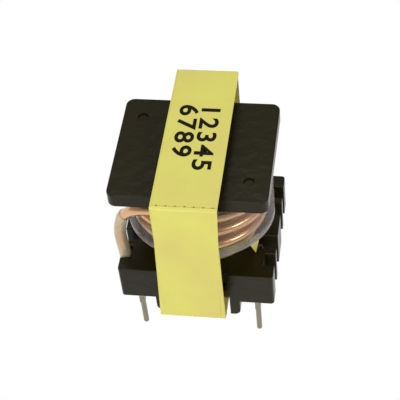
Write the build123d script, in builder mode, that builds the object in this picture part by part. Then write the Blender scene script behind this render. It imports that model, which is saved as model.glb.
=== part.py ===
from build123d import *
import os
from math import cos, radians, sin

# Switch mode transformer: an E core pair in an upright moulded bobbin, wound and taped.
# Frame: +Z up, the core's legs at -Y (front) and +Y (back), the pin rows at -X and +X.
# The origin is the middle of the pin pattern on the seating plane, under the standoff feet.
# All sizes are in millimetres.

os.makedirs("parts", exist_ok=True)

# ---- Ferrite core: two equal E halves, yokes at top and bottom ----
core_span = 16.4            # over the outer legs, along Y
core_thickness = 4.8        # along X
core_half_height = 7.3
core_window = 11.9          # between the outer legs
core_leg_depth = 5.3        # from the yoke's inner face to the mating face
centre_leg_width = 4.0
centre_leg_gap = 0.12       # ground off each half's centre leg
core_edge = 0.15            # tumbled outer edges
core_lift = 2.24            # the core's underside above the seating plane

# ---- Bobbin ----
core_clearance = 0.1        # between the centre leg and the tube
yoke_clearance = 0.05       # between a yoke and the flange under it
leg_clearance = 0.1         # between an outer leg and the lower flange
tube_wall = 0.7
tube_corner = 0.7
flange_length = 11.7        # along Y
flange_width = 13.8         # along X
flange_thickness = 1.3
flange_corner = 0.75
moulding_edge = 0.1         # rounding along the moulding's top edges
yoke_groove_depth = 0.62    # the upper yoke sits this far below the flange's top
yoke_side_clearance = 0.1   # between the upper yoke and each wall of its groove
lower_plate = 1.36          # lower flange, where it crosses the lower yoke
base_length = 12.2
base_width = 14.0
base_corner = 0.3
rail_bottom = 1.9
yoke_channel_half = 2.95    # between the two rails, for the lower yoke and its tape
foot_outer = 3.87           # outer face of a standoff foot, from the middle
foot_length = 2.6
foot_corner = 0.6
notch_depth = 0.95          # shallow wire notch beside each corner tooth
notch_width = 1.3
notch_centre = 4.0
slot_depth = 1.9            # deep wire slot beside the middle tooth
slot_width = 1.45
slot_centre = 1.97
dimple_radius = 0.5
dimple_depth = 0.2
dimple_x = 5.1
dimple_y = 3.55

# ---- Pins ----
pin_radius = 0.25
pin_shank = 0.5             # side of the square shank, above the seating plane
pin_row = 5.39              # from the middle to each row
pin_pitch = 5.2
pin_tip = -3.15             # how far the tips reach below the seating plane
pin_hold = 2.6              # depth in the rail
pin_fit = 0.01
pin_tip_round = 0.15
solder_radius = 0.58
solder_foot_radius = 0.38
solder_height = 0.8

# ---- Windings and insulation, from the tube outwards ----
wrap_fit = 0.01             # between one layer and the next
primary_reach_x = 4.5       # the primary's half width
primary_reach_y = 4.17
insulation = 0.1            # thickness of a tape layer
feedback_build = 0.28
fine_wire = 0.13            # radius of a fine lead
fine_lead_height = 0.15     # a fine lead's centre above the lower flange
fine_lead_x = 5.45          # where the fine leads drop through the slots
fine_lead_drop = 0.2        # their centres below the rail
fine_bend = 0.2
primary_slot_y = 2.52       # where the primary's leads pass the slots
feedback_slot_y = 2.2
fine_lead_across = 0.2      # and pass this far each side of the pin's middle
heavy_wire = 0.5            # radius of the heavy wire
heavy_pitch = 1.8
heavy_bottom = 1.88         # the coil's start above the lower flange
heavy_swell = 0.55          # how much wider the coil is at its top, along X
heavy_first = 130           # degrees round from +X where the coil starts
heavy_travel = 960          # degrees wound, clockwise seen from above
heavy_bend = 0.75           # under the rail, on the way to the pin
sleeve_wall = 0.05
sleeve_fit = 0.01
film_thickness = 0.08
film_rim = 1.75             # the film's lower rim above the lower flange
slit_x = -5.0               # the slit for the winding's end, at the front left
slit_width = 5.2
slit_depth = 3.5            # down from the film's upper edge
start_slit_x = -5.5         # the slit for its start, at the back left
start_slit_width = 2.4
start_slit_height = 0.75    # up from its lower rim
slit_corner = 0.6
tab_thickness = 0.1
tab_angle = -41.5           # the way the tape tab faces, in degrees from +X
tab_half = 0.56
tab_drop = 1.65             # from the film's rim down to the tab's tip
tab_rise = 0.6              # from the rim up to the tab's top, under the film

# ---- Tape round the core ----
tape_width = 5.45
tape_offset = 0.15          # how far the under turns are off centre, along X
tape_build = 0.12           # the under turns
tape_last = 0.06            # the last turn, which is laid a little askew
tape_fit = 0.01
askew_back = 0.3            # how far the last turn is off centre, along X, at the top's back
askew_front = 0.33          # at the top's front, where it ends
askew_bottom = -0.28        # at the front's bottom
end_teeth = 7               # left by the dispenser's blade
end_tooth_depth = 0.16

# ---- Levels worked out from the sizes above ----
yoke = core_half_height - core_leg_depth
core_middle = core_lift + core_half_height
core_top = core_lift + 2 * core_half_height
plate_bottom = core_lift + yoke + yoke_clearance
base_top = plate_bottom + lower_plate
groove_floor = core_top - yoke - yoke_clearance
flange_top = groove_floor + yoke_groove_depth
flange_bottom = flange_top - flange_thickness
window_height = flange_bottom - base_top
tube_hole_x = core_thickness + 2 * core_clearance
tube_hole_y = centre_leg_width + 2 * core_clearance
tube_x = tube_hole_x + 2 * tube_wall
tube_y = tube_hole_y + 2 * tube_wall


def plane_along_x(x, z):
    """Upright plane that faces +X, with Y across and Z up."""
    return Plane(origin=(x, 0, z), x_dir=(0, 1, 0), z_dir=(1, 0, 0))


def plane_along_y(x, y, z):
    """Upright plane that faces -Y, with X across and Z up."""
    return Plane(origin=(x, y, z), x_dir=(1, 0, 0), z_dir=(0, -1, 0))


# ---- Bobbin: one phenolic moulding ----
with BuildPart() as bobbin:
    # lower flange and rails
    with BuildSketch(Plane.XY.offset(rail_bottom)):
        RectangleRounded(base_width, base_length, base_corner)
    extrude(amount=base_top - rail_bottom)
    # channel between the rails for the lower yoke
    with BuildSketch(Plane.XY.offset(rail_bottom)):
        Rectangle(2 * yoke_channel_half, base_length)
    extrude(amount=plate_bottom - rail_bottom, mode=Mode.SUBTRACT)
    # recesses that let the core's outer legs past the lower flange
    recess_depth = (base_length - core_window) / 2 + leg_clearance
    with BuildSketch(Plane.XY.offset(rail_bottom)):
        with GridLocations(0, base_length - recess_depth, 1, 2):
            Rectangle(2 * yoke_channel_half, recess_depth)
    extrude(amount=base_top - rail_bottom, mode=Mode.SUBTRACT)
    # wire notches and slots, which make the rails' castellated edge
    with BuildSketch(Plane.XY.offset(rail_bottom)):
        for side in (-1, 1):
            for end in (-1, 1):
                with Locations((side * (base_width - notch_depth) / 2, end * notch_centre)):
                    Rectangle(notch_depth, notch_width)
                with Locations((side * (base_width - slot_depth) / 2, end * slot_centre)):
                    Rectangle(slot_depth, slot_width)
    extrude(amount=base_top - rail_bottom, mode=Mode.SUBTRACT)
    # standoff feet, one under each end of each rail
    foot_width = foot_outer - yoke_channel_half
    with BuildSketch(Plane.XZ.offset(base_length / 2)):
        for side in (-1, 1):
            with Locations((side * (yoke_channel_half + foot_width / 2), rail_bottom / 2)):
                Rectangle(foot_width, rail_bottom)
        fillet(vertices().group_by(Axis.Y)[0].sort_by(Axis.X)[0], foot_corner)
        fillet(vertices().group_by(Axis.Y)[0].sort_by(Axis.X)[-1], foot_corner)
    extrude(amount=-foot_length)
    mirror(about=Plane.XZ)
    fillet(bobbin.edges().group_by(Axis.Z)[-1], moulding_edge)
    # tube round the centre legs
    with BuildSketch(Plane.XY.offset(base_top)):
        RectangleRounded(tube_x, tube_y, tube_corner)
    extrude(amount=window_height)
    # upper flange
    with BuildSketch(Plane.XY.offset(flange_bottom)):
        RectangleRounded(flange_width, flange_length, flange_corner)
    extrude(amount=flange_thickness)
    # groove across its top for the upper yoke
    with BuildSketch(Plane.XY.offset(groove_floor)):
        Rectangle(core_thickness + 2 * yoke_side_clearance, flange_length)
    extrude(amount=yoke_groove_depth, mode=Mode.SUBTRACT)
    fillet(bobbin.edges().group_by(Axis.Z)[-1], moulding_edge)
    # hole for the centre legs
    with BuildSketch(Plane.XY.offset(rail_bottom)):
        Rectangle(tube_hole_x, tube_hole_y)
    extrude(amount=flange_top - rail_bottom, mode=Mode.SUBTRACT)
    # round ejector dimples in the upper flange
    with BuildSketch(Plane.XY.offset(flange_top)):
        with Locations((-dimple_x, dimple_y), (dimple_x, -dimple_y)):
            Circle(dimple_radius)
    extrude(amount=-dimple_depth, mode=Mode.SUBTRACT)
    # blind holes that hold the pins
    with BuildSketch(Plane.XY.offset(rail_bottom)):
        with GridLocations(2 * pin_row, pin_pitch, 2, 3):
            Rectangle(pin_shank + 2 * pin_fit, pin_shank + 2 * pin_fit)
    extrude(amount=pin_hold + pin_fit, mode=Mode.SUBTRACT)
bobbin.part.label = "bobbin"
export_step(bobbin.part, "parts/bobbin.step")


# ---- Core: two E halves that meet at the outer legs ----
# Face of one half, seen along X: yoke at the bottom, three legs upwards
half_window = core_window / 2
half_leg = centre_leg_width / 2
leg_top = core_half_height - centre_leg_gap
with BuildPart() as lower_core:
    with BuildSketch(plane_along_x(-core_thickness / 2, core_lift)):
        with BuildLine():
            Polyline(
                (-core_span / 2, 0),
                (core_span / 2, 0),
                (core_span / 2, core_half_height),
                (half_window, core_half_height),
                (half_window, yoke),
                (half_leg, yoke),
                (half_leg, leg_top),
                (-half_leg, leg_top),
                (-half_leg, yoke),
                (-half_window, yoke),
                (-half_window, core_half_height),
                (-core_span / 2, core_half_height),
                close=True,
            )
        make_face()
        fillet(vertices().group_by(Axis.Y)[0], core_edge)
    extrude(amount=core_thickness)
lower_core.part.label = "lower_core"
export_step(lower_core.part, "parts/lower_core.step")

with BuildPart() as upper_core:
    add(mirror(lower_core.part, about=Plane.XY.offset(core_middle)))
upper_core.part.label = "upper_core"
export_step(upper_core.part, "parts/upper_core.step")

# ---- Yellow tape round the core: one roll, whose last turn is askew and ends at the top's front ----
tape_inner_y = core_span + 2 * tape_fit
tape_inner_z = 2 * core_half_height + 2 * tape_fit
tape_half = tape_width / 2
band_y = tape_inner_y / 2 + tape_build
band_top = core_middle + tape_inner_z / 2 + tape_build
band_bottom = core_middle - tape_inner_z / 2 - tape_build
band_corner = core_edge + tape_build
end_y = -band_y + band_corner
tooth_pitch = tape_width / end_teeth
tooth_edge = []
for tooth in range(end_teeth):
    left = -tape_half + askew_front + tooth * tooth_pitch
    tooth_edge.append((left, end_y))
    tooth_edge.append((left + tooth_pitch / 2, end_y + end_tooth_depth))
with BuildPart() as core_tape:
    with BuildSketch(plane_along_x(tape_offset - tape_half, core_middle)):
        RectangleRounded(2 * band_y, band_top - band_bottom, band_corner)
        RectangleRounded(tape_inner_y, tape_inner_z, core_edge, mode=Mode.SUBTRACT)
    extrude(amount=tape_width)
    # last turn over the top, with a toothed end
    with BuildSketch(Plane.XY.offset(band_top)):
        with BuildLine():
            Polyline(
                *tooth_edge,
                (tape_half + askew_front, end_y),
                (tape_half + askew_back, band_y - band_corner),
                (-tape_half + askew_back, band_y - band_corner),
                close=True,
            )
        make_face()
    extrude(amount=tape_last)
    # the turn before it, down the front
    with BuildSketch(plane_along_y(0, -band_y, 0)):
        with BuildLine():
            Polyline(
                (-tape_half + askew_front, band_top - band_corner),
                (tape_half + askew_front, band_top - band_corner),
                (tape_half + askew_bottom, band_bottom + band_corner),
                (-tape_half + askew_bottom, band_bottom + band_corner),
                close=True,
            )
        make_face()
    extrude(amount=tape_last)
core_tape.part.label = "core_tape"
export_step(core_tape.part, "parts/core_tape.step")


# ---- Pins and their solder joints ----
def pin_place(number):
    """Pins 1 to 3 run down the left row from the back, 4 to 6 up the right row from the front."""
    side = -1 if number <= 3 else 1
    step = 2 - number if number <= 3 else number - 5
    return side * pin_row, step * pin_pitch


for number in range(1, 7):
    with BuildPart() as pin:
        with BuildSketch(Plane.XY.offset(pin_tip)):
            with Locations(pin_place(number)):
                Circle(pin_radius)
        extrude(amount=-pin_tip)
        fillet(edges().group_by(Axis.Z)[0], pin_tip_round)
        with BuildSketch(Plane.XY):
            with Locations(pin_place(number)):
                Rectangle(pin_shank, pin_shank)
        extrude(amount=rail_bottom + pin_hold)
    pin.part.label = f"pin_{number}"
    export_step(pin.part, f"parts/pin_{number}.step")

# pin 2 is spare
for number in (1, 3, 4, 5, 6):
    x, y = pin_place(number)
    with BuildPart() as solder:
        with BuildSketch(plane_along_y(x, y, rail_bottom)):
            with BuildLine():
                Polyline((solder_foot_radius, -solder_height), (0, -solder_height), (0, 0), (solder_radius, 0))
                ThreePointArc(
                    (solder_radius, 0),
                    (solder_radius - 0.04, -solder_height / 2),
                    (solder_foot_radius, -solder_height),
                )
            make_face()
        revolve(axis=Axis((x, y, rail_bottom), (0, 0, 1)))
        with BuildSketch(Plane.XY):
            with Locations((x, y)):
                Rectangle(pin_shank + 2 * pin_fit, pin_shank + 2 * pin_fit)
        extrude(amount=rail_bottom, mode=Mode.SUBTRACT)
    solder.part.label = f"solder_{number}"
    export_step(solder.part, f"parts/solder_{number}.step")


# ---- Inner windings and insulation: oval layers, one over the other ----
def oval_ring(inner, outer):
    """Outline of a layer that starts and ends that far out from the primary's face."""
    Ellipse(primary_reach_x + outer, primary_reach_y + outer)
    Ellipse(primary_reach_x + inner, primary_reach_y + inner, mode=Mode.SUBTRACT)


def fine_lead_path(start_x, slot_y, number, across):
    """From inside the windings out over the lower flange, down a slot and along to a pin."""
    x, y = pin_place(number)
    toward = 1 if slot_y > y else -1
    level = base_top + fine_lead_height
    under = rail_bottom - fine_lead_drop
    end_y = y + toward * (solder_radius + wrap_fit)
    with BuildLine() as path:
        FilletPolyline(
            (start_x, slot_y, level),
            (fine_lead_x + across, slot_y, level),
            (fine_lead_x + across, slot_y, under),
            (x + across, end_y, under),
            radius=fine_bend,
        )
    return path.wire()


primary_tape_inner = wrap_fit
primary_tape_outer = primary_tape_inner + insulation
feedback_inner = primary_tape_outer + wrap_fit
feedback_outer = feedback_inner + feedback_build
insulation_inner = feedback_outer + wrap_fit
insulation_outer = insulation_inner + insulation
primary_lead_x = tube_x / 2 + 0.4
feedback_lead_x = 4.15
primary_lead_y = (-primary_slot_y, primary_slot_y)
feedback_lead_y = (-feedback_slot_y, feedback_slot_y)
primary_leads = (
    fine_lead_path(primary_lead_x, primary_lead_y[0], 4, fine_lead_across),
    fine_lead_path(primary_lead_x, primary_lead_y[1], 6, fine_lead_across),
)
feedback_leads = (
    fine_lead_path(feedback_lead_x, feedback_lead_y[0], 5, -fine_lead_across),
    fine_lead_path(feedback_lead_x, feedback_lead_y[1], 6, -fine_lead_across),
)
lead_pass_height = fine_lead_height + fine_wire + wrap_fit
lead_pass_width = 2 * (fine_wire + wrap_fit)
primary_pass = [(primary_reach_x, y) for y in primary_lead_y]
feedback_pass = [(primary_reach_x, y) for y in feedback_lead_y]

# many layers of fine wire wound as one block
with BuildPart() as primary_winding:
    with BuildSketch(Plane.XY.offset(base_top)):
        Ellipse(primary_reach_x, primary_reach_y)
        RectangleRounded(
            tube_x + 2 * wrap_fit,
            tube_y + 2 * wrap_fit,
            tube_corner,
            mode=Mode.SUBTRACT,
        )
    extrude(amount=window_height)
    for lead in primary_leads:
        with BuildSketch(Plane(origin=lead @ 0, z_dir=lead % 0)):
            Circle(fine_wire)
        sweep(path=lead)
primary_winding.part.label = "primary_winding"
export_step(primary_winding.part, "parts/primary_winding.step")

with BuildPart() as primary_tape:
    with BuildSketch(Plane.XY.offset(base_top)):
        oval_ring(primary_tape_inner, primary_tape_outer)
    extrude(amount=window_height)
    # way out for the leads
    with BuildSketch(Plane.XY.offset(base_top)):
        with Locations(*primary_pass):
            Rectangle(primary_reach_x, lead_pass_width)
    extrude(amount=lead_pass_height, mode=Mode.SUBTRACT)
primary_tape.part.label = "primary_tape"
export_step(primary_tape.part, "parts/primary_tape.step")

with BuildPart() as feedback_winding:
    with BuildSketch(Plane.XY.offset(base_top)):
        oval_ring(feedback_inner, feedback_outer)
    extrude(amount=window_height)
    with BuildSketch(Plane.XY.offset(base_top)):
        with Locations(*primary_pass):
            Rectangle(primary_reach_x, lead_pass_width)
    extrude(amount=lead_pass_height, mode=Mode.SUBTRACT)
    for lead in feedback_leads:
        with BuildSketch(Plane(origin=lead @ 0, z_dir=lead % 0)):
            Circle(fine_wire)
        sweep(path=lead)
feedback_winding.part.label = "feedback_winding"
export_step(feedback_winding.part, "parts/feedback_winding.step")

with BuildPart() as insulation_tape:
    with BuildSketch(Plane.XY.offset(base_top)):
        oval_ring(insulation_inner, insulation_outer)
    extrude(amount=window_height)
    with BuildSketch(Plane.XY.offset(base_top)):
        with Locations(*primary_pass, *feedback_pass):
            Rectangle(primary_reach_x, lead_pass_width)
    extrude(amount=lead_pass_height, mode=Mode.SUBTRACT)
insulation_tape.part.label = "insulation_tape"
export_step(insulation_tape.part, "parts/insulation_tape.step")

# ---- Heavy winding: an open helix of thick wire, with both ends led down the left side ----
heavy_reach_x = primary_reach_x + insulation_outer + wrap_fit + heavy_wire
heavy_reach_y = primary_reach_y + insulation_outer + wrap_fit + heavy_wire
heavy_level = base_top + heavy_bottom
coil_end = heavy_level + heavy_pitch * heavy_travel / 360
sleeve_radius = heavy_wire + sleeve_fit + sleeve_wall
notch_x = base_width / 2 - notch_depth + sleeve_radius + wrap_fit


def coil_point(travel):
    """A point of the wire's centre line, that many degrees along the coil."""
    share = travel / heavy_travel
    reach_x = heavy_reach_x + heavy_swell * (1 - cos(radians(180 * share))) / 2
    turn = radians(heavy_first - travel)
    return reach_x * cos(turn), heavy_reach_y * sin(turn), heavy_level + heavy_pitch * travel / 360


coil_points = [coil_point(20 * step) for step in range(heavy_travel // 20 + 1)]
rail_top = base_top - 0.3
bend_top = rail_bottom - heavy_wire - 2 * wrap_fit + heavy_bend


def tail_points(side):
    """Bend under the rail and run to the end pin: bend start, middle and end, then the tip."""
    foot = Vector(-notch_x, side * notch_centre, bend_top)
    pin_axis = Vector(-pin_row, side * pin_pitch, bend_top)
    heading = (pin_axis - foot).normalized()
    down = Vector(0, 0, -1)
    middle = foot + heading * heavy_bend * (1 - cos(radians(45))) + down * heavy_bend * sin(radians(45))
    end = foot + heading * heavy_bend + down * heavy_bend
    tip = pin_axis + down * heavy_bend - heading * (solder_radius + wrap_fit)
    return foot, middle, end, tip


start_tail = tail_points(1)
finish_tail = tail_points(-1)
start_top = Vector(-notch_x, notch_centre, rail_top)
finish_top = Vector(-notch_x, -notch_centre, rail_top)
start_sleeve_top = Vector(-5.8, 3.15, base_top + 1.55)
start_sleeve_heading = Vector(0.9, -0.35, 0.25)
finish_sleeve_top = Vector(-6.2, -3.5, coil_end - 2.03)
finish_sleeve_heading = Vector(-0.6, 0.2, -0.8)
with BuildLine() as start_sleeve_path:
    Line(start_tail[0], start_top)
    Spline(
        start_top,
        (-6.5, 3.78, base_top + 0.65),
        start_sleeve_top,
        tangents=((0, 0, 1), start_sleeve_heading),
        tangent_scalars=(1, 1),
    )
with BuildLine() as finish_sleeve_path:
    Spline(
        finish_sleeve_top,
        (-6.64, -3.3, coil_end - 3.03),
        (-6.9, -3.45, base_top + 2.35),
        (-6.77, -3.8, base_top + 1.05),
        finish_top,
        tangents=(finish_sleeve_heading, (0, 0, -1)),
        tangent_scalars=(1, 1),
    )
    Line(finish_top, finish_tail[0])
with BuildLine() as heavy_path:
    Line(start_tail[3], start_tail[2])
    ThreePointArc(start_tail[2], start_tail[1], start_tail[0])
    add(start_sleeve_path.line)
    Spline(
        start_sleeve_top,
        *coil_points,
        (-3.5, -4.48, coil_end - 0.13),
        (-4.9, -4.1, coil_end - 0.68),
        finish_sleeve_top,
        tangents=(start_sleeve_heading, finish_sleeve_heading),
        tangent_scalars=(1, 1),
    )
    add(finish_sleeve_path.line)
    ThreePointArc(finish_tail[0], finish_tail[1], finish_tail[2])
    Line(finish_tail[2], finish_tail[3])

with BuildPart() as secondary_winding:
    heavy_wire_path = heavy_path.wire()
    with BuildSketch(Plane(origin=heavy_wire_path @ 0, z_dir=heavy_wire_path % 0)):
        Circle(heavy_wire)
    sweep(path=heavy_wire_path)
secondary_winding.part.label = "secondary_winding"
export_step(secondary_winding.part, "parts/secondary_winding.step")

for name, path in (("back", start_sleeve_path), ("front", finish_sleeve_path)):
    with BuildPart() as lead_sleeve:
        sleeve_path = path.wire()
        with BuildSketch(Plane(origin=sleeve_path @ 0, z_dir=sleeve_path % 0)):
            Circle(sleeve_radius)
            Circle(heavy_wire + sleeve_fit, mode=Mode.SUBTRACT)
        sweep(path=sleeve_path)
    lead_sleeve.part.label = f"lead_sleeve_{name}"
    export_step(lead_sleeve.part, f"parts/lead_sleeve_{name}.step")

# ---- Clear film wrapped over the heavy winding ----
film_x = heavy_reach_x + heavy_swell + heavy_wire + 2 * wrap_fit
film_y = heavy_reach_y + heavy_wire + wrap_fit
film_bottom = base_top + film_rim
film_top = flange_bottom - wrap_fit
with BuildPart() as outer_film:
    with BuildSketch(Plane.XY.offset(film_bottom)):
        Ellipse(film_x + film_thickness, film_y + film_thickness)
        Ellipse(film_x, film_y, mode=Mode.SUBTRACT)
    extrude(amount=film_top - film_bottom)
    # cut down from its upper edge, where the winding's end passes over it
    with BuildSketch(Plane.XZ.offset(film_y + 1)):
        with Locations((slit_x, film_top)):
            RectangleRounded(slit_width, 2 * slit_depth, slit_corner)
    extrude(amount=-film_y, mode=Mode.SUBTRACT)
    # cut up from its lower rim, where the winding's start passes under it
    with BuildSketch(Plane.XZ.offset(-film_y - 1)):
        with Locations((start_slit_x, film_bottom)):
            RectangleRounded(start_slit_width, 2 * start_slit_height, slit_corner)
    extrude(amount=film_y, mode=Mode.SUBTRACT)
outer_film.part.label = "outer_film"
export_step(outer_film.part, "parts/outer_film.step")

# ---- Folded end of the insulation tape, hanging out under the film at the front right ----
facing = radians(tab_angle)
reach = ((film_x * cos(facing)) ** 2 + (film_y * sin(facing)) ** 2) ** 0.5
tab_x = film_x**2 * cos(facing) / reach - (tab_thickness + 0.04) * cos(facing)
tab_y = film_y**2 * sin(facing) / reach - (tab_thickness + 0.04) * sin(facing)
tab_plane = Plane(
    origin=(tab_x, tab_y, 0),
    x_dir=(-sin(facing), cos(facing), 0),
    z_dir=(cos(facing), sin(facing), 0),
)
with BuildPart() as tape_tab:
    with BuildSketch(tab_plane):
        with BuildLine():
            Polyline(
                (-tab_half, film_bottom),
                (0.05, film_bottom - tab_drop),
                (tab_half, film_bottom),
                (tab_half, film_bottom + tab_rise),
                (-tab_half, film_bottom + tab_rise),
                close=True,
            )
        make_face()
    extrude(amount=tab_thickness)
tape_tab.part.label = "tape_tab"
export_step(tape_tab.part, "parts/tape_tab.step")
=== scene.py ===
# %% [markdown]
# # A small switch mode transformer
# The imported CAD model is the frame: a ferrite core in a pinned phenolic bobbin, wound with copper
# and wrapped in yellow tape. Its solids keep their shapes here. This script gives them their
# finishes, adds the print and the trim on the tape, and sets up the light and the camera.

# %% Load the frame
import math

import bpy

from mathutils import Matrix, Vector


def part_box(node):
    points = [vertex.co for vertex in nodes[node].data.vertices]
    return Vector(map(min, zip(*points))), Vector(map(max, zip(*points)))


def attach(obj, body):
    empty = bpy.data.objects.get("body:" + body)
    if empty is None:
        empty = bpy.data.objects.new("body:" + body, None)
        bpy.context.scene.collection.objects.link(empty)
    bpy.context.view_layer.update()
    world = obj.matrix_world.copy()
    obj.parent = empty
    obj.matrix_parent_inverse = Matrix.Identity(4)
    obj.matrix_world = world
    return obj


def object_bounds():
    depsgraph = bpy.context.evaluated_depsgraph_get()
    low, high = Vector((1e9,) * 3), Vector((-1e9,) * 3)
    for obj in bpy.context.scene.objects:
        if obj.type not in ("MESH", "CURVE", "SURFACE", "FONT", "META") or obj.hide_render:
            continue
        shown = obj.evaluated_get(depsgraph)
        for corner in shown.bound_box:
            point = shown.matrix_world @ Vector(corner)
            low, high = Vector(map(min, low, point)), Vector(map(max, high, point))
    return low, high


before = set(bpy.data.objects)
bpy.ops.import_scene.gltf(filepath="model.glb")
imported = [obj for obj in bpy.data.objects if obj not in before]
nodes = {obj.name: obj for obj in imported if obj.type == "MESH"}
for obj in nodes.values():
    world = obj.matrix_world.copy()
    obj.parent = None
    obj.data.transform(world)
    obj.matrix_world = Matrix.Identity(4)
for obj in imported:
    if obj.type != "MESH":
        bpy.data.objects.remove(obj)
cad_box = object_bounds()
bpy.ops.object.select_all(action="DESELECT")
print("nodes", len(nodes), "box", cad_box)

# %% [markdown]
# ## Finishes
# Every finish is a Principled BSDF. Its plain values could be fed in by other nodes, but they sit
# on its own sockets, where an export finds them. `plain_finish` makes one, and the finishes with
# a texture add their nodes afterwards.

# %% Helpers for finishes
finish_ior = 1.5


def shader_of(material):
    """The Principled BSDF of a finish."""
    return material.node_tree.nodes["Principled BSDF"]


def plain_finish(name, color, roughness, metallic=0.0):
    """A material with one Principled BSDF."""
    material = bpy.data.materials.new(name)
    material.use_nodes = True
    shader = shader_of(material)
    shader.inputs["Base Color"].default_value = (*color, 1.0)
    shader.inputs["Roughness"].default_value = roughness
    shader.inputs["Metallic"].default_value = metallic
    shader.inputs["IOR"].default_value = finish_ior
    return material


def wear(name, material):
    """Gives a CAD node its finish."""
    node = nodes[name]
    node.data.materials.clear()
    node.data.materials.append(material)
    print(name, "wears", material.name)


# %% [markdown]
# ## Uneven surfaces
# Moulded phenolic, sintered ferrite, adhesive tape and solder are never perfectly flat. Each could
# have its own noise, but one node group gives them all a normal that waves a little, so they are
# set in one way: `Size` is how close the waves are, and `Depth` how deep.

# %% The uneven-surface node group
wave_detail = 3.0
wave_height = 0.0004
uneven = bpy.data.node_groups.new("uneven_surface", "ShaderNodeTree")
uneven.interface.new_socket("Size", in_out="INPUT", socket_type="NodeSocketFloat")
uneven.interface.new_socket("Depth", in_out="INPUT", socket_type="NodeSocketFloat")
uneven.interface.new_socket("Normal", in_out="OUTPUT", socket_type="NodeSocketVector")
waves_in = uneven.nodes.new("NodeGroupInput")
waves_out = uneven.nodes.new("NodeGroupOutput")
wave_coordinates = uneven.nodes.new("ShaderNodeTexCoord")
wave_noise = uneven.nodes.new("ShaderNodeTexNoise")
wave_noise.inputs["Detail"].default_value = wave_detail
wave_bump = uneven.nodes.new("ShaderNodeBump")
wave_bump.inputs["Distance"].default_value = wave_height
uneven.links.new(wave_coordinates.outputs["Object"], wave_noise.inputs["Vector"])
uneven.links.new(waves_in.outputs["Size"], wave_noise.inputs["Scale"])
uneven.links.new(waves_in.outputs["Depth"], wave_bump.inputs["Strength"])
uneven.links.new(wave_noise.outputs["Fac"], wave_bump.inputs["Height"])
uneven.links.new(wave_bump.outputs["Normal"], waves_out.inputs["Normal"])
print("made", uneven.name, "with", len(uneven.nodes), "nodes")


def roughen(material, size, depth):
    """Adds the uneven surface to a finish."""
    tree = material.node_tree
    group = tree.nodes.new("ShaderNodeGroup")
    group.node_tree = uneven
    group.inputs["Size"].default_value = size
    group.inputs["Depth"].default_value = depth
    tree.links.new(group.outputs["Normal"], shader_of(material).inputs["Normal"])


# %% [markdown]
# ## Uneven colours
# Handled tape is yellower in some places and more orange in others. This node group gives a soft
# mask, and `mottle` uses it to go from one colour to another. The colours stay in the material,
# so the group serves any finish.

# %% The uneven-colour node group
patch_detail = 4.0
patch_start, patch_end = 0.35, 0.65
patches = bpy.data.node_groups.new("soft_patches", "ShaderNodeTree")
patches.interface.new_socket("Size", in_out="INPUT", socket_type="NodeSocketFloat")
patches.interface.new_socket("Mask", in_out="OUTPUT", socket_type="NodeSocketFloat")
patches_in = patches.nodes.new("NodeGroupInput")
patches_out = patches.nodes.new("NodeGroupOutput")
patch_coordinates = patches.nodes.new("ShaderNodeTexCoord")
patch_noise = patches.nodes.new("ShaderNodeTexNoise")
patch_noise.inputs["Detail"].default_value = patch_detail
patch_range = patches.nodes.new("ShaderNodeMapRange")
patch_range.inputs["From Min"].default_value = patch_start
patch_range.inputs["From Max"].default_value = patch_end
patches.links.new(patch_coordinates.outputs["Object"], patch_noise.inputs["Vector"])
patches.links.new(patches_in.outputs["Size"], patch_noise.inputs["Scale"])
patches.links.new(patch_noise.outputs["Fac"], patch_range.inputs["Value"])
patches.links.new(patch_range.outputs["Result"], patches_out.inputs["Mask"])
print("made", patches.name, "with", len(patches.nodes), "nodes")


def mottle(material, size, first_color, second_color):
    """Adds the uneven colour to a finish."""
    tree = material.node_tree
    group = tree.nodes.new("ShaderNodeGroup")
    group.node_tree = patches
    group.inputs["Size"].default_value = size
    blend = tree.nodes.new("ShaderNodeMix")
    blend.data_type = "RGBA"
    blend.inputs["A"].default_value = (*first_color, 1.0)
    blend.inputs["B"].default_value = (*second_color, 1.0)
    tree.links.new(group.outputs["Mask"], blend.inputs["Factor"])
    tree.links.new(blend.outputs["Result"], shader_of(material).inputs["Base Color"])


# %% [markdown]
# ## Black phenolic
# The bobbin is a thermosetting moulding: nearly black, slightly brown, with a satin skin. Its
# gloss could be cut by more roughness, but a low specular level keeps the satin look and stays
# dark where the lamps graze it.

# %% Bobbin
phenolic = plain_finish("black_phenolic", color=(0.0175, 0.0138, 0.003), roughness=0.28)
shader_of(phenolic).inputs["Specular IOR Level"].default_value = 0.17
roughen(phenolic, size=900.0, depth=0.12)
wear("bobbin", phenolic)

# %% [markdown]
# ## Ferrite
# The core is a sintered grey-black ceramic, duller and grainier than the moulding. Only its sides
# show, past the tape's edges.

# %% Core halves
ferrite = plain_finish("ferrite", color=(0.035, 0.035, 0.036), roughness=0.55)
roughen(ferrite, size=2500.0, depth=0.25)
wear("lower_core", ferrite)
wear("upper_core", ferrite)

# %% [markdown]
# ## Yellow polyester tape
# The tape is a thin yellow film with a soft sheen. Turns laid on each other make it nearly opaque,
# so it is a solid colour here, and not a see-through one.

# %% Tapes
tape_fresh = (0.78, 0.745, 0.14)
tape_aged = (0.745, 0.645, 0.15)
core_tape_finish = plain_finish("yellow_tape", color=tape_fresh, roughness=0.42)
roughen(core_tape_finish, size=260.0, depth=0.10)
mottle(core_tape_finish, size=170.0, first_color=tape_fresh, second_color=tape_aged)
wear("core_tape", core_tape_finish)
layer_tape_finish = plain_finish("inner_yellow_tape", color=(0.62, 0.54, 0.14), roughness=0.35)
wear("insulation_tape", layer_tape_finish)
wear("primary_tape", layer_tape_finish)
wear("tape_tab", layer_tape_finish)

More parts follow.
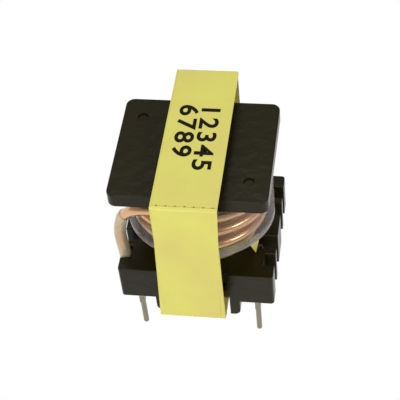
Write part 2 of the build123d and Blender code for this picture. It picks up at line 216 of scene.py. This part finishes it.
# %% [markdown]
# ## Enamelled copper
# Magnet wire is bright copper under a clear coat of enamel. The coat has its own sharper gloss,
# which makes a long highlight along each turn, so it is the shader's coat and not a smoother
# metal. The fine wire's near-black colour is painted shade, for the shade its thin turns cast on
# each other.

# %% Copper windings
copper = plain_finish("enamelled_copper", color=(0.76, 0.42, 0.19), roughness=0.30, metallic=0.9)
shader_of(copper).inputs["Coat Weight"].default_value = 0.8
shader_of(copper).inputs["Coat Roughness"].default_value = 0.12
wear("secondary_winding", copper)
# Painted shade: the fine wire's near-black colour stands for the shade between its thin turns.
painted_shade_copper = plain_finish(
    "fine_copper_painted_shade", color=(0.06, 0.028, 0.014), roughness=0.4, metallic=0.6
)
wear("primary_winding", painted_shade_copper)
wear("feedback_winding", painted_shade_copper)

# %% [markdown]
# ## Clear film and milky sleeve
# The film is thin clear polyester. Its grey-lilac colour is painted reflection, which shows most
# where the film is seen at a slant. The sleeve on each lead is a milky tube that lets some copper
# through. Both are thin walls, so alpha does better than refraction: Layer Weight makes them
# denser where they turn away from the eye.

# %% Film and sleeves
slant_blend = 0.35


def clear_finish(name, color, roughness, face_on, edge_on):
    """A see-through finish that is denser where the surface turns away."""
    material = plain_finish(name, color, roughness)
    tree = material.node_tree
    slant = tree.nodes.new("ShaderNodeLayerWeight")
    slant.inputs["Blend"].default_value = slant_blend
    density = tree.nodes.new("ShaderNodeMapRange")
    density.inputs["To Min"].default_value = face_on
    density.inputs["To Max"].default_value = edge_on
    tree.links.new(slant.outputs["Facing"], density.inputs["Value"])
    tree.links.new(density.outputs["Result"], shader_of(material).inputs["Alpha"])
    return material


# The film's grey-lilac colour is painted reflection.
film_finish = clear_finish(
    "film_painted_reflection", color=(0.40, 0.33, 0.31), roughness=0.2, face_on=0.06, edge_on=0.24
)
sleeve_finish = clear_finish(
    "milky_sleeve", color=(0.84, 0.77, 0.55), roughness=0.28, face_on=0.14, edge_on=0.85
)
wear("lead_sleeve_front", sleeve_finish)
wear("lead_sleeve_back", sleeve_finish)

# %% [markdown]
# ## The film's cut rim, with its painted highlight
# The lower edge of the film is cut, and catches a grey-lilac light, painted here as a highlight. A
# second density, which fades upwards from that edge, is set against the first, and the denser of
# the two is used.

# %% Painted highlight on the rim of the film
rim_height = 0.0011
painted_rim_highlight = 0.75
film_low, film_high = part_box("outer_film")
film_tree = film_finish.node_tree
film_alpha = shader_of(film_finish).inputs["Alpha"]
film_place = film_tree.nodes.new("ShaderNodeTexCoord")
film_height = film_tree.nodes.new("ShaderNodeSeparateXYZ")
# Painted highlight: the film is made denser towards its lower edge, so its colour shows as a band.
near_rim = film_tree.nodes.new("ShaderNodeMapRange")
near_rim.inputs["From Min"].default_value = film_low[2]
near_rim.inputs["From Max"].default_value = film_low[2] + rim_height
near_rim.inputs["To Min"].default_value = painted_rim_highlight
near_rim.inputs["To Max"].default_value = 0.0
denser = film_tree.nodes.new("ShaderNodeMath")
denser.operation = "MAXIMUM"
film_tree.links.new(film_place.outputs["Object"], film_height.inputs["Vector"])
film_tree.links.new(film_height.outputs["Z"], near_rim.inputs["Value"])
film_tree.links.new(film_alpha.links[0].from_socket, denser.inputs[0])
film_tree.links.new(near_rim.outputs["Result"], denser.inputs[1])
film_tree.links.new(denser.outputs["Value"], film_alpha)
wear("outer_film", film_finish)
print("film from", film_low[2], "to", film_high[2])

# %% [markdown]
# ## Tinned pins and solder
# The pins are tinned wire, dull grey with a warm tint. The solder at their roots froze from a
# liquid, so it is brighter and slightly wavy.

# %% Pins and solder
tinned = plain_finish("tinned_pin", color=(0.27, 0.24, 0.17), roughness=0.34, metallic=0.85)
solder = plain_finish("solder", color=(0.70, 0.70, 0.68), roughness=0.25, metallic=0.9)
roughen(solder, size=1500.0, depth=0.2)
for name in nodes:
    if name.startswith("pin_"):
        wear(name, tinned)
    if name.startswith("solder_"):
        wear(name, solder)

# %% [markdown]
# ## Printed figures
# Such a tape usually carries a marking. Plain counting figures stand in its place: two rows that
# read along the tape. They could be a texture, but a text object turned into a mesh, as thin as
# ink, keeps sharp edges and goes out with the export as geometry.

# %% Figures on the tape
tape_low, tape_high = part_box("core_tape")
ink = plain_finish("print_ink", color=(0.012, 0.01, 0.004), roughness=0.7)
shader_of(ink).inputs["Specular IOR Level"].default_value = 0.1
figure_height = 0.0016
figure_share_of_line = 0.7
figure_spacing = 1.18
figure_stretch = 1.2
figure_bold = 0.00005
ink_thickness = 0.00001
reading_turn = math.radians(-90)


def print_row(name, text, x, y):
    """Prints a row of figures on the top of the tape, read from the right-hand side."""
    bpy.ops.object.select_all(action="DESELECT")
    bpy.ops.object.text_add(location=(0, 0, 0))
    row = bpy.context.object
    row.name = name
    row.data.body = text
    row.data.size = figure_height / figure_share_of_line
    row.data.space_character = figure_spacing
    row.data.offset = figure_bold
    row.data.extrude = ink_thickness / 2
    row.data.align_x = "CENTER"
    row.data.align_y = "CENTER"
    bpy.ops.object.convert(target="MESH")
    row = bpy.context.object
    place = Matrix.Translation((x, y, tape_high[2] + ink_thickness / 2))
    along_tape = Matrix.Rotation(reading_turn, 4, "Z")
    row.data.transform(place @ along_tape @ Matrix.Scale(figure_stretch, 4, (1, 0, 0)))
    row.data.materials.clear()
    row.data.materials.append(ink)
    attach(row, "root")
    print(name, "has", len(row.data.vertices), "points")


print_row("figures_right", "12345", x=0.00105, y=-0.0001)
print_row("figures_left", "6789", x=-0.00085, y=0.0006)

# %% [markdown]
# ## The tape's toothed end
# The dispenser's blade leaves a toothed end at the front of the top. Each notch between two teeth
# holds a little shadow. The teeth could be cut into the tape, but at this size only the dark
# notches are seen, so a small dark triangle of painted shadow on the turn below stands for each.

# %% Painted shadows along the toothed end
# Painted shadow: a dark colour for the shade in each notch between the teeth.
notch_painted_shadow = plain_finish("tape_end_painted_shadow", color=(0.16, 0.12, 0.03), roughness=0.8)
tape_width = 0.00545
tape_middle_x = 0.00033
last_turn_thickness = 0.00006
notch_count = 7
notch_pitch = tape_width / notch_count
notch_size = 0.00014
end_line_setback = 0.00037
end_line_y = tape_low[1] + end_line_setback
notch_z = tape_high[2] - last_turn_thickness + ink_thickness
bpy.ops.object.select_all(action="DESELECT")
marks = []
for notch in range(notch_count):
    notch_x = tape_middle_x + (notch - (notch_count - 1) / 2) * notch_pitch
    bpy.ops.mesh.primitive_circle_add(vertices=3, radius=notch_size, fill_type="NGON")
    mark = bpy.context.object
    mark.data.transform(Matrix.Translation((notch_x, end_line_y, notch_z)))
    mark.data.materials.append(notch_painted_shadow)
    marks.append(mark)
bpy.ops.object.select_all(action="DESELECT")
for mark in marks:
    mark.select_set(True)
bpy.context.view_layer.objects.active = marks[0]
bpy.ops.object.join()
tape_end_painted_shadows = bpy.context.object
tape_end_painted_shadows.name = "tape_end_painted_shadows"
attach(tape_end_painted_shadows, "root")
print("tape_end_painted_shadows has", len(tape_end_painted_shadows.data.polygons), "notches")

# %% [markdown]
# ## The fold of the turn below
# The turn that goes down the front comes over the core's edge from under the toothed end. This
# piece is its rounded fold: a strip as wide as the tape, bent a quarter round. A grid's rows are
# laid along the bend, because its radius grows slightly towards the front, and Solidify gives it
# the thickness of tape.

# %% Fold at the top's front edge
fold_radius_top = 0.00029
fold_radius_front = 0.00031
fold_setback = 0.00033
fold_centre_y = tape_low[1] + fold_setback
fold_centre_z = tape_high[2] - fold_setback
fold_steps = 12
fold_thickness = 0.00002
bpy.ops.object.select_all(action="DESELECT")
bpy.ops.mesh.primitive_grid_add(x_subdivisions=1, y_subdivisions=fold_steps, size=1)
tape_fold = bpy.context.object
tape_fold.name = "tape_fold"
for vertex in tape_fold.data.vertices:
    share = vertex.co.y + 0.5
    bend = share * math.pi / 2
    radius = fold_radius_top + (fold_radius_front - fold_radius_top) * share
    vertex.co = (
        tape_middle_x + vertex.co.x * tape_width,
        fold_centre_y - radius * math.sin(bend),
        fold_centre_z + radius * math.cos(bend),
    )
thicken = tape_fold.modifiers.new("thicken", "SOLIDIFY")
thicken.thickness = fold_thickness
bpy.ops.object.modifier_apply(modifier="thicken")
tape_fold.data.materials.append(core_tape_finish)
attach(tape_fold, "root")
print("tape_fold has", len(tape_fold.data.polygons), "faces")

# %% [markdown]
# ## Floor and backdrop
# The floor is pale, and throws soft light back up at the part. To the camera and in reflections it
# is plain white: Light Path picks out those rays, and they meet an even glow instead of the lit
# floor. The world is white too, and gives a soft fill.

# %% Floor
floor_size = 3.0
floor_gap = 0.0002
bpy.ops.object.select_all(action="DESELECT")
bpy.ops.mesh.primitive_plane_add(size=floor_size, location=(0, 0, cad_box[0][2] - floor_gap))
floor = bpy.context.object
floor.name = "floor"
floor_finish = plain_finish("floor_white", color=(0.9, 0.9, 0.9), roughness=0.9)
floor_tree = floor_finish.node_tree
glow = floor_tree.nodes.new("ShaderNodeEmission")
glow.inputs["Color"].default_value = (1, 1, 1, 1)
rays = floor_tree.nodes.new("ShaderNodeLightPath")
seen = rays.outputs["Is Camera Ray"]
for ray_kind in ("Is Transmission Ray", "Is Glossy Ray"):
    either = floor_tree.nodes.new("ShaderNodeMath")
    either.operation = "MAXIMUM"
    floor_tree.links.new(seen, either.inputs[0])
    floor_tree.links.new(rays.outputs[ray_kind], either.inputs[1])
    seen = either.outputs["Value"]
mix = floor_tree.nodes.new("ShaderNodeMixShader")
floor_tree.links.new(seen, mix.inputs["Fac"])
floor_tree.links.new(shader_of(floor_finish).outputs["BSDF"], mix.inputs[1])
floor_tree.links.new(glow.outputs["Emission"], mix.inputs[2])
floor_tree.links.new(mix.outputs["Shader"], floor_tree.nodes["Material Output"].inputs["Surface"])
floor.data.materials.append(floor_finish)
print("floor at", floor.location.z)

# %% World
world_strength = 0.3
world = bpy.data.worlds.new("studio")
bpy.context.scene.world = world
world.use_nodes = True
backdrop = world.node_tree.nodes["Background"]
backdrop.inputs["Color"].default_value = (1, 1, 1, 1)
backdrop.inputs["Strength"].default_value = world_strength
print("world strength", world_strength)

# %% [markdown]
# ## Lamps
# Three soft lamps, all turned to the part's middle: a broad one in front and above, a smaller one
# from the right, whose reflection runs along the copper turns, and a broad one overhead, slightly
# behind, for the top of the tape and the flange. Area lamps are used, because a point or a spot
# leaves a hard dot on every glossy edge.

# %% Lamps
heart = Vector((0, 0, (cad_box[0][2] + cad_box[1][2]) / 2))


def lamp(name, place, width, power):
    """A square area lamp at a place, turned towards the part's middle."""
    light = bpy.data.lights.new(name, "AREA")
    light.size = width
    light.energy = power
    stand = bpy.data.objects.new(name, light)
    bpy.context.scene.collection.objects.link(stand)
    stand.location = place
    stand.rotation_euler = (heart - Vector(place)).to_track_quat("-Z", "Y").to_euler()
    print(name, "at", place)


lamp("front_lamp", place=(-0.05, -0.30, 0.16), width=0.16, power=0.46)
lamp("right_lamp", place=(0.26, -0.12, 0.22), width=0.07, power=0.3)
lamp("top_lamp", place=(-0.05, 0.10, 0.35), width=0.2, power=0.42)

# %% [markdown]
# ## Camera
# The camera looks down at the front, a little from the right, through a long lens. It leans
# slightly, so the part stands a few degrees askew. Its three axes are worked out from those
# angles, because a tracking constraint couldn't hold the lean.

# %% Camera
camera_aim = Vector((-0.000097, 0.000170, 0.008466))
camera_azimuth = math.radians(12.42)
camera_elevation = math.radians(48.63)
camera_roll = math.radians(-6.56)
camera_distance = 0.1175
back = Vector((
    math.sin(camera_azimuth) * math.cos(camera_elevation),
    -math.cos(camera_azimuth) * math.cos(camera_elevation),
    math.sin(camera_elevation),
))
level_right = (-back).cross(Vector((0, 0, 1))).normalized()
level_up = level_right.cross(-back)
right = math.cos(camera_roll) * level_right + math.sin(camera_roll) * level_up
up = -math.sin(camera_roll) * level_right + math.cos(camera_roll) * level_up
camera_data = bpy.data.cameras.new("camera")
camera_data.lens = 117.0
camera_data.sensor_width = 36.0
camera_data.clip_start = 0.001
camera = bpy.data.objects.new("camera", camera_data)
bpy.context.scene.collection.objects.link(camera)
turn = Matrix((right, up, back)).transposed().to_4x4()
camera.matrix_world = Matrix.Translation(camera_aim + camera_distance * back) @ turn
bpy.context.scene.camera = camera
bpy.context.scene.view_settings.view_transform = "Standard"
print("camera at", camera.matrix_world.translation)
